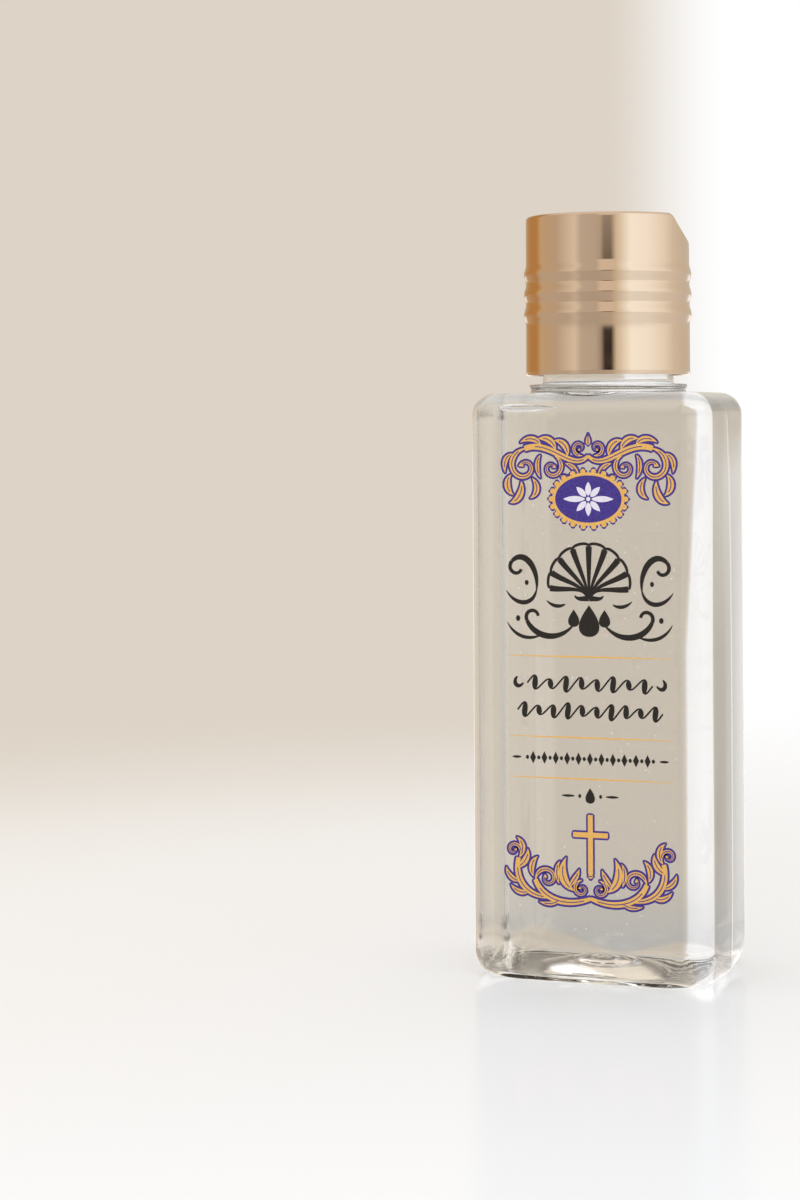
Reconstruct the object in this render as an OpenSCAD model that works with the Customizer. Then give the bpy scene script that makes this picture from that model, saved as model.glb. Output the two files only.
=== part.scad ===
// Clear rectangular water bottle with a film label and a gold disc-top screw cap.
// X runs to the right of the label face, Y to the back and Z up.
// The origin is the middle of the underside. All sizes are in millimetres.

/* [Body] */
// Width across the label face
body_w = 48.6; // [40:0.1:70]
// Depth from the label face to the back
body_d = 36.8; // [33:0.1:60]
// Height of the flat shoulder above the underside
body_h = 115.2; // [80:0.1:160]
// Radius of the upright corners
corner_r = 5.7; // [3:0.1:9]
// Radius of the edge round the shoulder
shoulder_r = 4.5; // [2:0.1:8]
// Radius of the edge round the underside
heel_r = 2.8; // [2:0.1:8]
// Thickness of the side walls
wall = 0.9; // [0.5:0.05:1.5]
// Thickness of the floor and of the shoulder
floor_t = 1.2; // [0.6:0.05:2]

/* [Base] */
// Diameter of the dished middle of the underside
dish_d = 26; // [16:0.5:28]
// Depth of the dish
dish_h = 2.2; // [0.5:0.1:4]

/* [Neck] */
// Diameter of the neck under the thread
finish_d = 25.1; // [18:0.1:34]
// Thickness of the neck's wall
neck_wall = 2; // [1:0.05:3]
// How far the collar under the thread lies inside the thread's crest
collar_inset = 0.6; // [0.1:0.05:0.8]
// Height of the foot that carries the neck ring
ring_foot_h = 0.85; // [0.4:0.05:2]
// Thickness of the neck ring
ring_t = 0.85; // [0.5:0.05:2]
// How far the neck ring stands out from the collar
ring_reach = 2.75; // [1:0.05:4]
// How far the foot is set back under the ring
ring_foot_inset = 0.35; // [0.1:0.05:0.8]
// Height of the lip above the neck ring
lip_h = 17.5; // [15:0.1:24]
// Bevel on the outside of the lip
lip_bevel = 0.45; // [0.1:0.05:0.8]

/* [Thread] */
// Rise of the thread in one turn
thread_pitch = 4.233; // [3.8:0.001:5]
// Height of the thread ridge
thread_h = 1.15; // [0.85:0.05:1.3]
// Width of the ridge at its crest
thread_crest_w = 0.85; // [0.4:0.05:1]
// Widening of the ridge on each side, from crest to root
thread_flank = 0.65; // [0.3:0.05:0.8]
// Turns of thread on the neck
neck_turns = 1.5; // [1:0.25:2]
// Turns of thread in the cap
cap_turns = 1.25; // [1:0.25:1.5]
// Distance from the lip down to the upper end of the neck thread
thread_drop = 2.3; // [1.6:0.1:3]
// Gap between a crest and the wall across from it
thread_gap = 0.25; // [0.15:0.05:0.5]
// Free height between the cap's thread and the collar under it
collar_gap = 1; // [0.5:0.1:3]

/* [Cap] */
// Turn of the tightened cap, from its finger notch facing square to the right
cap_angle = 14; // [-180:1:180]
// Gap between the neck ring and the cap's lower rim
cap_gap = 1.8; // [0.5:0.1:4]
// Thickness of the threaded skirt
skirt_wall = 1.7; // [1.4:0.05:3]
// How far the skirt ends above the sleeve's lower rim
skirt_lift = 0.35; // [0.1:0.05:1]
// Thickness of the deck that closes the neck
deck_t = 1.55; // [0.8:0.05:3]
// Depth from the rim down to the deck
well_h = 13.5; // [12:0.1:18]
// Thickness of the wall round the disc
well_wall = 1.5; // [0.9:0.05:2]
// Thickness of the gold sleeve
sleeve_t = 0.5; // [0.25:0.05:0.8]
// How much wider the sleeve's radius is at its lower rim than at the top
sleeve_draft = 0.25; // [0:0.01:0.6]
// Radius of the sleeve's top edge
sleeve_edge_r = 0.65; // [0.2:0.05:1]

/* [Beads] */
// Number of beads round the sleeve
bead_count = 3; // [1:1:4]
// Distance from bead to bead
bead_pitch = 4; // [3.8:0.1:5.5]
// Width of a bead
bead_w = 3.7; // [1.5:0.1:3.8]
// How far a bead stands out
bead_h = 0.42; // [0.15:0.01:0.8]
// Height of the middle of the beads above the lower rim
bead_z = 16.6; // [10:0.1:19]

/* [Finger notch] */
// Radius of the notch
notch_r = 11.8; // [8:0.1:13]
// Depth of the notch below the rim
notch_depth = 5.05; // [2:0.05:6]
// Rounding where the notch meets the rim
notch_round = 1.65; // [0.5:0.05:3]

/* [Disc] */
// How far the disc's top lies below the rim
disc_sink = 0.35; // [0.1:0.05:1]
// Thickness of the disc's plate
disc_t = 1.9; // [1.3:0.1:2.4]
// Thickness of the gold plate let into the disc
inlay_t = 0.35; // [0.15:0.05:0.6]
// Width of the disc's edge around the gold plate
inlay_border = 0.55; // [0.3:0.05:2]
// Height from the pivot up to the disc's top
pivot_drop = 3.2; // [2.8:0.1:4]
// Diameter of the pivot pins
pin_d = 3.1; // [2:0.1:3.8]
// Diameter of the valve barrel under the disc
barrel_d = 11.2; // [9:0.1:12.3]
// Length of the valve barrel
barrel_len = 12.3; // [10:0.1:15.5]
// How far the chimney's wall lies inside the barrel's radius
chimney_inset = 0.9; // [0.5:0.05:1.6]
// Depth of the barrel's seat in the chimney
seat_h = 1.55; // [0.6:0.05:2]
// Diameter of the port from the chimney into the barrel
port_d = 2.2; // [1:0.1:2.2]
// Diameter of the spout's channel
spout_bore_d = 2.7; // [1.5:0.1:2.9]
// Thickness of the spout's wall
spout_wall = 0.75; // [0.5:0.05:1]
// Angle that opens the spout
tilt_open = 25; // [24:0.5:28]
// Distance of the disc's stop from the middle
stop_x = 9.5; // [8:0.1:11]
// Diameter of the disc's stop
stop_d = 2.2; // [1.5:0.1:3]

/* [Gasket] */
// Thickness of the sealing ring
gasket_t = 1.1; // [0.5:0.1:2]
// How far the ring reaches inside the bore
gasket_reach = 0.9; // [0.2:0.1:3]
// Radius of the bead that keeps the ring in the cap
keeper_r = 0.5; // [0.25:0.05:0.7]

/* [Fill] */
// Height of the water above the shoulder
fill_h = 7.8; // [0.5:0.1:9]

/* [Label] */
// Thickness of the film
label_t = 0.06; // [0.03:0.01:0.3]
// How far the film sits to the right of the face's middle
label_shift = 0.8; // [-5:0.1:5]
// Margin from the film to the rounded corners
label_margin = 1; // [0.2:0.1:6]
// Margin from the film to the rounded heel
label_low = 7.2; // [1:0.1:20]
// Margin from the film to the rounded shoulder
label_high = 3.3; // [1:0.1:20]
// Radius of the film's corners
label_r = 2.2; // [0.5:0.1:5]

/* [Fits] */
// Gap between the sleeve and the skirt
sleeve_gap = 0.05; // [0.02:0.01:0.2]
// Gap round the pivot pins
pin_gap = 0.05; // [0.02:0.01:0.1]
// Gap between the barrel and its seat
valve_gap = 0.1; // [0.05:0.01:0.3]
// Gap between the swinging disc and the wall around it
swing_gap = 0.25; // [0.1:0.05:0.5]
// Gap between the pins' ends and the outside of the skirt
pin_end_gap = 0.45; // [0.2:0.05:0.8]
// Gap between the spout and its stop
stop_gap = 0.1; // [0.05:0.05:0.3]
// Gap round the sealing ring
gasket_gap = 0.2; // [0.1:0.05:0.3]
// Gap round the gold plate in the disc
inlay_gap = 0.05; // [0.02:0.01:0.2]
// Gap between the water and the wall
fill_gap = 0.03; // [0.01:0.01:0.2]

/* [Hidden] */
$fn = 96;

// Overlap that lets a cut run clear of a face, or sinks a ridge into its wall
clear = 1;
sink = 0.3;
// Steps of a thread in one turn, and the turn over which its ends fade
thread_steps = 36;
thread_fade = 0.1;
thread_fade_low = 0.15;

// Heights, from the shoulder up
ring_z = body_h + ring_foot_h;
ring_top = ring_z + ring_t;
lip_z = ring_top + lip_h;
cap_z = ring_top + cap_gap;
deck_z = lip_z + gasket_t;
deck_top = deck_z + deck_t;
cap_top = deck_top + well_h;

// Radii of the neck
finish_r = finish_d / 2;
bore_r = finish_r - neck_wall;
crest_r = finish_r + thread_h;
collar_r = crest_r - collar_inset;
ring_r = collar_r + ring_reach;

// Threads: both follow one helix, half a pitch apart
thread_root_w = thread_crest_w + 2 * thread_flank;
neck_thread_z = lip_z - thread_drop - neck_turns * thread_pitch;
cap_thread_back = 0.25;
cap_thread_z = neck_thread_z - thread_pitch * (0.5 + cap_thread_back);
collar_top = cap_thread_z - thread_root_w / 2 - collar_gap;

// Radii of the cap
skirt_r = crest_r + thread_gap;
cap_body_r = skirt_r + skirt_wall;
sleeve_in_r = cap_body_r + sleeve_gap;
sleeve_top_r = sleeve_in_r + sleeve_t;
sleeve_low_r = sleeve_top_r + sleeve_draft;
well_r = cap_body_r - well_wall;

// Disc: its edge swings inside the well
swing_r = well_r - swing_gap;
disc_r = sqrt(swing_r * swing_r - pivot_drop * pivot_drop);
disc_top = cap_top - disc_sink;
disc_low = disc_top - disc_t;
pivot_z = disc_top - pivot_drop;
inlay_pocket_r = disc_r - inlay_border;
barrel_r = barrel_d / 2;
seat_r = barrel_r + valve_gap;
chimney_r = barrel_r - chimney_inset;
chimney_top = pivot_z - seat_r + seat_h;
spout_r = spout_bore_d / 2 + spout_wall;
spout_z = disc_low - spout_r + sink;
spout_drop = pivot_z - spout_z + spout_r;
spout_end = min(disc_r, sqrt(swing_r * swing_r - spout_drop * spout_drop));

// Dish of the underside, part of a sphere
dish_r = (dish_d * dish_d / 4 + dish_h * dish_h) / (2 * dish_h);

// Edge radii can't pass the radius of the corners that they run round
edge_margin = 0.2;
heel = min(heel_r, corner_r - edge_margin);
shoulder = min(shoulder_r, corner_r - edge_margin);

// Quarter of a disc, in the corner that the signs choose
module quarter(r, sx, sy) {
    intersection() {
        circle(r);
        mirror([sx < 0 ? 1 : 0, 0]) mirror([0, sy < 0 ? 1 : 0]) square(r);
    }
}

// Outline of a wall with a rounded lower and upper edge
module edge_outline(reach, h, low, top) {
    square([reach - max(low, top), h]);
    square([reach - low, low]);
    translate([reach - low, low]) quarter(low, 1, -1);
    translate([0, low]) square([reach, h - low - top]);
    translate([0, h - top]) square([reach - top, top]);
    translate([reach - top, h - top]) quarter(top, 1, 1);
}

// Block with rounded upright corners and rounded ends
module rounded_block(w, d, h, r, low, top) {
    core_w = w - 2 * r;
    core_d = d - 2 * r;
    translate([-core_w / 2, -core_d / 2, 0]) cube([core_w, core_d, h]);
    for (side = [0, 180]) {
        rotate([0, 0, side]) translate([core_w / 2, core_d / 2, 0])
            rotate([90, 0, 0]) linear_extrude(core_d) edge_outline(r, h, low, top);
        rotate([0, 0, side + 90]) translate([core_d / 2, core_w / 2, 0])
            rotate([90, 0, 0]) linear_extrude(core_w) edge_outline(r, h, low, top);
        rotate([0, 0, side]) translate([core_w / 2, core_d / 2, 0])
            rotate_extrude(angle = 90) edge_outline(r, h, low, top);
        rotate([0, 0, side + 90]) translate([core_d / 2, core_w / 2, 0])
            rotate_extrude(angle = 90) edge_outline(r, h, low, top);
    }
}

module dish_ball(grow) {
    translate([0, 0, dish_h - dish_r]) sphere(dish_r + grow, $fn = 180);
}

// Inside of the bottle up to the height given, drawn in from the wall by the gap
module inside(gap, top) {
    inset = wall + gap;
    low = floor_t + gap;
    ceiling = body_h - floor_t - gap;
    difference() {
        union() {
            translate([0, 0, low])
                rounded_block(body_w - 2 * inset, body_d - 2 * inset, ceiling - low,
                              corner_r - inset, heel - inset, shoulder - inset);
            translate([0, 0, body_h / 2]) cylinder(r = bore_r - gap, h = top - body_h / 2);
        }
        dish_ball(floor_t + gap);
    }
}

function thread_fade_at(t, turns) =
    max(thread_fade_low, min(1, t / thread_fade, (turns - t) / thread_fade));

// One cross-section of a thread, from its inner to its outer radius
function thread_ring(t, z, in_r, in_half, out_r, out_half) =
    [for (p = [[in_r, -in_half], [out_r, -out_half], [out_r, out_half], [in_r, in_half]])
        [p[0] * cos(360 * t), p[0] * sin(360 * t), z + p[1]]];

// Right-hand thread ridge: root and crest radii, starting at a height and a part of a turn
module thread_ridge(root_r, top_r, z, turns, start) {
    steps = round(turns * thread_steps);
    deep = sink * sign(top_r - root_r);
    flank = thread_flank / abs(top_r - root_r);
    base_r = root_r - deep;
    base_half = thread_crest_w / 2 + flank * abs(top_r - base_r);
    points = [for (i = [0:steps])
        let (t = i * turns / steps,
             tip_r = base_r + (top_r - base_r) * thread_fade_at(t, turns),
             tip_half = base_half - flank * abs(tip_r - base_r),
             high = z + t * thread_pitch)
        each top_r > root_r
            ? thread_ring(start + t, high, base_r, base_half, tip_r, tip_half)
            : thread_ring(start + t, high, tip_r, tip_half, base_r, base_half)];
    last = 4 * steps;
    sides = [for (i = [0:steps - 1], j = [0:3])
        let (a = 4 * i + j, b = 4 * i + (j + 1) % 4)
        each [[a, b, b + 4], [a, b + 4, a + 4]]];
    ends = [[0, 2, 1], [0, 3, 2], [last, last + 1, last + 2], [last, last + 2, last + 3]];
    polyhedron(points, concat(sides, ends));
}

// Outside of the neck, from the shoulder to the lip
module neck_outline() {
    edge = ring_t / 2;
    foot_r = ring_r - ring_foot_inset;
    translate([0, body_h - floor_t]) square([foot_r, floor_t + ring_foot_h + edge]);
    translate([0, ring_z]) square([ring_r - edge, ring_t]);
    translate([ring_r - edge, ring_z + edge]) quarter(edge, 1, 1);
    translate([ring_r - edge, ring_z + edge]) quarter(edge, 1, -1);
    translate([0, ring_z]) square([collar_r, collar_top - ring_z]);
    polygon([[0, ring_z], [finish_r, ring_z], [finish_r, lip_z - lip_bevel],
             [finish_r - lip_bevel, lip_z], [0, lip_z]]);
}

module bottle() {
    color([0.86, 0.88, 0.88, 0.4]) {
        difference() {
            union() {
                rounded_block(body_w, body_d, body_h, corner_r, heel, shoulder);
                rotate_extrude() neck_outline();
            }
            inside(0, lip_z + clear);
            dish_ball(0);
        }
        thread_ridge(finish_r, crest_r, neck_thread_z, neck_turns, 0);
    }
}

module water() {
    color([0.85, 0.9, 0.9, 0.4]) inside(fill_gap, body_h + fill_h);
}

module front_label() {
    w = body_w - 2 * (corner_r + label_margin);
    low = heel + label_low;
    high = body_h - shoulder - label_high;
    color([0.95, 0.93, 0.88, 0.5])
        translate([label_shift, -body_d / 2, 0]) rotate([90, 0, 0]) linear_extrude(label_t) {
            translate([-w / 2, low + label_r]) square([w, high - low - 2 * label_r]);
            for (end = [low + label_r, high - label_r], side = [-1, 1]) {
                dir = end > body_h / 2 ? 1 : -1;
                translate([side * (w / 2 - label_r), end]) quarter(label_r, side, dir);
            }
            translate([label_r - w / 2, low]) square([w - 2 * label_r, high - low]);
        }
}

module neck_gasket() {
    color([0.93, 0.93, 0.9])
        translate([0, 0, lip_z]) difference() {
            cylinder(r = skirt_r - gasket_gap, h = gasket_t);
            translate([0, 0, -clear]) cylinder(r = bore_r - gasket_reach, h = gasket_t + 2 * clear);
        }
}

// Outline of the finger notch, from the rim down, with rounded shoulders
module notch_outline() {
    middle = notch_r - notch_depth;
    across = notch_r + notch_round;
    side = sqrt(across * across - (middle + notch_round) * (middle + notch_round));
    translate([0, middle]) circle(notch_r);
    for (flip = [0, 1])
        mirror([flip, 0]) difference() {
            polygon([[0, middle], [side, -notch_round], [side, middle]]);
            translate([side, -notch_round]) circle(notch_round);
        }
}

module notch() {
    translate([disc_r - notch_depth, 0, cap_top]) rotate([90, 0, 90])
        linear_extrude(sleeve_low_r) notch_outline();
}

// Closed cup with the neck's bore below and the disc's well above the deck
module cap_cup() {
    well_top = cap_top - sleeve_t;
    difference() {
        translate([0, 0, cap_z + skirt_lift])
            cylinder(r = cap_body_r, h = well_top - cap_z - skirt_lift);
        translate([0, 0, cap_z - clear]) cylinder(r = skirt_r, h = deck_z - cap_z + clear);
        translate([0, 0, deck_top]) cylinder(r = well_r, h = well_h);
        translate([0, 0, deck_z - clear]) cylinder(d = port_d, h = deck_t + 2 * clear);
        translate([0, 0, pivot_z]) rotate([90, 0, 0])
            cylinder(d = pin_d + 2 * pin_gap, h = 2 * (cap_body_r + clear), center = true);
        notch();
    }
}

// Chimney on the deck, with a hollow seat for the valve barrel
module chimney() {
    difference() {
        translate([0, 0, deck_top - sink]) cylinder(r = chimney_r, h = chimney_top - deck_top + sink);
        translate([0, 0, deck_z]) cylinder(d = port_d, h = pivot_z - deck_z);
        translate([0, 0, pivot_z]) rotate([90, 0, 0])
            cylinder(r = seat_r, h = 2 * (chimney_r + clear), center = true);
    }
}

module cap_body() {
    stop_top = spout_z - spout_r - stop_gap;
    thread_start = -cap_thread_back - cap_angle / 360;
    color([0.93, 0.92, 0.89]) rotate([0, 0, cap_angle]) {
        cap_cup();
        chimney();
        translate([-stop_x, 0, deck_top - sink]) cylinder(d = stop_d, h = stop_top - deck_top + sink);
        translate([0, 0, lip_z - keeper_r - gasket_gap])
            rotate_extrude() translate([skirt_r, 0]) circle(keeper_r);
        thread_ridge(skirt_r, skirt_r - thread_h, cap_thread_z, cap_turns, thread_start);
    }
}

// Outside radius of the sleeve at a height
function sleeve_r_at(z) = sleeve_low_r - sleeve_draft * (z - cap_z) / (cap_top - cap_z);

module sleeve_outline() {
    edge_z = cap_top - sleeve_edge_r;
    edge_x = sleeve_r_at(edge_z);
    arc_r = (bead_w * bead_w / 4 + bead_h * bead_h) / (2 * bead_h);
    polygon([[sleeve_in_r, cap_z], [sleeve_low_r, cap_z], [edge_x, edge_z],
             [edge_x - sleeve_edge_r, cap_top], [well_r, cap_top],
             [well_r, cap_top - sleeve_t], [sleeve_in_r, cap_top - sleeve_t]]);
    translate([edge_x - sleeve_edge_r, edge_z]) quarter(sleeve_edge_r, 1, 1);
    for (i = [0:bead_count - 1]) {
        z = cap_z + bead_z + (i - (bead_count - 1) / 2) * bead_pitch;
        r = sleeve_r_at(z);
        intersection() {
            translate([r + bead_h - arc_r, z]) circle(arc_r);
            translate([r - sleeve_t / 2, z - bead_w]) square([sleeve_t + bead_h, 2 * bead_w]);
        }
    }
}

module cap_sleeve() {
    color([0.84, 0.7, 0.52]) rotate([0, 0, cap_angle]) difference() {
        rotate_extrude() sleeve_outline();
        notch();
    }
}

module disc() {
    color([0.86, 0.74, 0.56]) rotate([0, 0, cap_angle]) difference() {
        union() {
            translate([0, 0, disc_low]) cylinder(r = disc_r, h = disc_t);
            intersection() {
                translate([0, 0, pivot_z]) rotate([90, 0, 0])
                    cylinder(r = barrel_r, h = barrel_len, center = true);
                translate([-barrel_r, -barrel_len, pivot_z - barrel_d])
                    cube([barrel_d, 2 * barrel_len, barrel_d + disc_low + disc_t / 2 - pivot_z]);
            }
            translate([0, 0, spout_z]) rotate([0, -90, 0]) cylinder(r = spout_r, h = spout_end);
            translate([0, 0, pivot_z]) rotate([90, 0, 0])
                cylinder(d = pin_d, h = 2 * (cap_body_r - pin_end_gap), center = true);
        }
        translate([0, 0, disc_top - inlay_t]) cylinder(r = inlay_pocket_r, h = inlay_t + clear);
        translate([0, 0, spout_z]) rotate([0, -90, 0])
            cylinder(d = spout_bore_d, h = spout_end + clear);
        translate([0, 0, pivot_z]) rotate([0, 180 - tilt_open, 0])
            cylinder(d = port_d, h = barrel_r + clear);
    }
}

module disc_inlay() {
    color([0.88, 0.76, 0.58])
        translate([0, 0, disc_top - inlay_t])
            cylinder(r = inlay_pocket_r - inlay_gap, h = inlay_t);
}

bottle();
water();
front_label();
neck_gasket();
cap_body();
cap_sleeve();
disc();
disc_inlay();
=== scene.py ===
"""Looks of a clear rectangular water bottle with a printed film label and a gold disc-top cap.

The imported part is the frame. Shapes are drawn in millimetres and scaled to metres when a piece is done.
"""

import math

import bmesh
import bpy
from mathutils import Matrix, Vector


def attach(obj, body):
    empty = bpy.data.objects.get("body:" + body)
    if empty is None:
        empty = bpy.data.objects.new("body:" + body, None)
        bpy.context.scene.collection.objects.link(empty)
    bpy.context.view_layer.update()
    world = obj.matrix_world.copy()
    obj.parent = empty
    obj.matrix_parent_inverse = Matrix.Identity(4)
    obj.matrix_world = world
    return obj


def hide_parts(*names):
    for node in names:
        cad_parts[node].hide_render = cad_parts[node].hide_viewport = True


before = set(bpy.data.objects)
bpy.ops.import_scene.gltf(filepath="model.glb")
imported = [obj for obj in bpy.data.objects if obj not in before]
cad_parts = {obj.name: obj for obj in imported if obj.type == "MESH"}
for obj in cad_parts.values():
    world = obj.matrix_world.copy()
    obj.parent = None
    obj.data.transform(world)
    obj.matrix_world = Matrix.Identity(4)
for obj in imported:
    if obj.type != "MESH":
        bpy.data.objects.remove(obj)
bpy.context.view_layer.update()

MM = 0.001

# Body, as in the part's source
HALF_W = 24.3
HALF_D = 18.4
CORNER = 5.7
SHOULDER = 4.5
SHOULDER_TOP = 115.2
WALL = 0.9
FLOOR = 1.2
CEILING = SHOULDER_TOP - FLOOR
DISH_TOP = 2.2
DISH_SPHERE = 39.51
DISH_EDGE = 13.0
# The moulded heel is rounder at the corners than along the sides
HEEL = 2.0
FOOT_CORNER = 10.0
# Mould parting line down the middle of both sides
SEAM = 0.04
# How far the front and back sink in and the sides bulge out, as a thin filled wall does
SINK = 0.13
BULGE = 0.4

# Neck, from its bore to the foot that it stands on
BORE = 10.55
FINISH = 12.55
THREAD_LOW = 125.75
THREAD_TURNS = 1.5
THREAD_PITCH = 4.233
THREAD_H = 1.15
LIP = 134.4
FILL = 123.0
NECK_FOOT = 16.4

# Cap, which is turned from square when tight
CAP_TURN = math.radians(14)
CAP_LOW = 118.7
CAP_TOP = 150.55
SLEEVE_LOW = 16.45
SLEEVE_DRAFT = 0.1
SLEEVE_IN = 15.7
WELL = 14.15
BEADS = (130.9, 134.95, 139.0)
BEAD_PITCH = 4.0
BEAD_H = 0.39
NOTCH_R = 11.8
NOTCH_DEPTH = 5.05
NOTCH_ROUND = 1.65

# How far the camera stands to the right of the label face's middle
VIEW_TURN = math.radians(15.15)

# Label film, the middle of its print, and the steps from layer to layer and from stroke to stroke
FILM_FRONT = -18.46
LABEL_MIDDLE = 0.9
INK_STEP = 0.02
STROKE_STEP = 0.0004

# Steps round a corner, an edge and along half a side
CORNER_STEPS = 10
EDGE_STEPS = 8
SIDE_STEPS = 8


# Settings of nodes that ease in and out, and of nodes that mix colours
SMOOTH = {"interpolation_type": "SMOOTHSTEP"}
MIX = {"data_type": "RGBA"}


def hex_colour(code):
    """Linear colour of an sRGB hex code."""
    parts = [int(code[i : i + 2], 16) / 255 for i in (1, 3, 5)]
    linear = [c / 12.92 if c <= 0.04045 else ((c + 0.055) / 1.055) ** 2.4 for c in parts]
    return (*linear, 1.0)


def add_node(tree, kind, settings=None, inputs=None):
    """A new node with its settings, and its inputs set or linked."""
    made = tree.nodes.new("ShaderNode" + kind)
    for name, value in (settings or {}).items():
        setattr(made, name, value)
    for name, value in (inputs or {}).items():
        if isinstance(value, bpy.types.NodeSocket):
            tree.links.new(value, made.inputs[name])
        else:
            made.inputs[name].default_value = value
    return made


def new_material(name):
    """An empty material and its node tree."""
    material = bpy.data.materials.new(name)
    material.use_nodes = True
    material.node_tree.nodes.clear()
    return material, material.node_tree


def finish_piece(bm, name, body, material, replaced=(), sharp=35):
    """Turns a shape in millimetres into a piece that rides on a body."""
    bmesh.ops.scale(bm, vec=(MM, MM, MM), verts=bm.verts)
    for face in bm.faces:
        face.smooth = True
    for edge in bm.edges:
        edge.smooth = len(edge.link_faces) < 2 or edge.calc_face_angle(0) < math.radians(sharp)
    mesh = bpy.data.meshes.new(name)
    bm.to_mesh(mesh)
    bm.free()
    piece = bpy.data.objects.new(name, mesh)
    bpy.context.collection.objects.link(piece)
    mesh.materials.append(material)
    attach(piece, body)
    if replaced:
        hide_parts(*replaced)


# Shapes


def outline(half_w, half_d, corner):
    """Points round a rectangle with rounded corners, each with its way out."""
    steps = [i / SIDE_STEPS for i in range(1, SIDE_STEPS)] + [0.97]
    shares = sorted([-s for s in steps] + [-0.018, 0, 0.018] + steps)
    points = []
    for quarter in range(4):
        turn = Matrix.Rotation(math.radians(90 * quarter), 2)
        reach, side = (half_w, half_d) if quarter % 2 == 0 else (half_d, half_w)
        middle = Vector((reach - corner, side - corner))
        for share in shares:
            points.append((turn @ Vector((reach, share * middle.y)), turn @ Vector((1, 0))))
        for i in range(CORNER_STEPS + 1):
            angle = math.radians(90 * i / CORNER_STEPS)
            out = Vector((math.cos(angle), math.sin(angle)))
            points.append((turn @ (middle + corner * out), turn @ out))
    return points


BODY_PLAN = outline(HALF_W, HALF_D, CORNER)
FOOT_PLAN = outline(HALF_W - HEEL, HALF_D - HEEL, FOOT_CORNER)
DROPS = [(body[0] - foot[0]).length for body, foot in zip(BODY_PLAN, FOOT_PLAN)]


def hoop(radius, z):
    """A ring of the neck or base, its points in line with the body's."""
    return [(point.normalized() * radius).to_3d() + Vector((0, 0, z)) for point, _ in BODY_PLAN]


def body_ring(inset, z):
    """A ring of the body, drawn in from its outside."""
    return [(point - out * inset).to_3d() + Vector((0, 0, z)) for point, out in BODY_PLAN]


def heel_ring(inset, low, angle):
    """A ring of the heel, which swings from the foot up to the wall."""
    ring = []
    for (point, out), (foot, _), drop in zip(BODY_PLAN, FOOT_PLAN, DROPS):
        wall = point - out * inset
        flat = foot + (wall - foot) * math.sin(angle)
        ring.append(flat.to_3d() + Vector((0, 0, low + (drop - inset) * (1 - math.cos(angle)))))
    return ring


def wall_ring(inset, share, low, top):
    """A ring of the walls, at a share of the way from heel to shoulder."""
    ring = []
    for (point, out), drop in zip(BODY_PLAN, DROPS):
        flat = abs(out.x) > 0.999 or abs(out.y) > 0.999
        side, bow = (HALF_D, BULGE) if abs(out.x) > 0.5 else (HALF_W, -SINK)
        across = min(1, abs(point.cross(out)) / (side - CORNER))
        sink = -bow * (1 - across**2) * (4 * share * (1 - share)) ** 0.5 if flat else 0
        seam = SEAM if inset == 0 and abs(out.x) > 0.999 and across < 0.001 else 0
        flank = point - out * (inset + sink - seam)
        bottom = low + drop - inset
        ring.append(flank.to_3d() + Vector((0, 0, bottom + (top - bottom) * share)))
    return ring


def shoulder_ring(share):
    """A ring of the shoulder, at a share of the way from the wall to the foot of the neck."""
    ring = []
    for point, _ in BODY_PLAN:
        spot = point.lerp(point.normalized() * NECK_FOOT, share)
        over = Vector((abs(spot.x) - HALF_W + CORNER, abs(spot.y) - HALF_D + CORNER))
        inset = CORNER - Vector((max(over.x, 0), max(over.y, 0))).length - min(max(over), 0)
        fall = SHOULDER - math.sqrt(max(0, SHOULDER**2 - max(0, SHOULDER - inset) ** 2))
        ring.append(spot.to_3d() + Vector((0, 0, SHOULDER_TOP - fall)))
    return ring


EDGE_ANGLES = [math.radians(90 * i / EDGE_STEPS) for i in range(EDGE_STEPS + 1)]
WALL_SHARES = (0.006, 0.05, 0.15, 0.3, 0.45, 0.6, 0.75, 0.88, 0.96, 0.994, 1)
SHOULDER_SHARES = (0.004, 0.012, 0.025, 0.045, 0.075, 0.11, 0.16, 0.22, 0.3, 0.4, 0.52, 0.66, 0.82, 1)


def dish_z(radius, grow=0.0):
    """Height of the dished base, or of the floor above it."""
    sphere = DISH_SPHERE + grow
    return DISH_TOP - DISH_SPHERE + math.sqrt(sphere**2 - radius**2)


def thread_reach(angle, z):
    """How far the neck's thread stands out at an angle and a height."""
    reach = 0
    for turn in (0, 1):
        along = (angle / math.tau) % 1 + turn
        if along > THREAD_TURNS:
            continue
        off = abs(z - THREAD_LOW - along * THREAD_PITCH)
        fade = min(1, along / 0.1, (THREAD_TURNS - along) / 0.1)
        reach = max(reach, THREAD_H * fade * max(0, min(1, (1.075 - off) / 0.65)))
    return reach


def thread_hoop(z):
    """A ring of the neck where the thread runs round it."""
    ring = []
    for point, _ in BODY_PLAN:
        way = point.normalized()
        radius = FINISH + thread_reach(math.atan2(way.y, way.x), z)
        ring.append((way * radius).to_3d() + Vector((0, 0, z)))
    return ring


def draw_out(bm, edges, verts):
    """Extrudes edges, and gives the new edges with the new vertex of each old one."""
    made = bmesh.ops.extrude_edge_only(bm, edges=edges)["geom"]
    fresh = {part for part in made if isinstance(part, bmesh.types.BMVert)}
    lines = [part for part in made if isinstance(part, bmesh.types.BMEdge)]
    drawn = [next(e.other_vert(v) for e in v.link_edges if e.other_vert(v) in fresh) for v in verts]
    return [line for line in lines if fresh.issuperset(line.verts)], drawn


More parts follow.
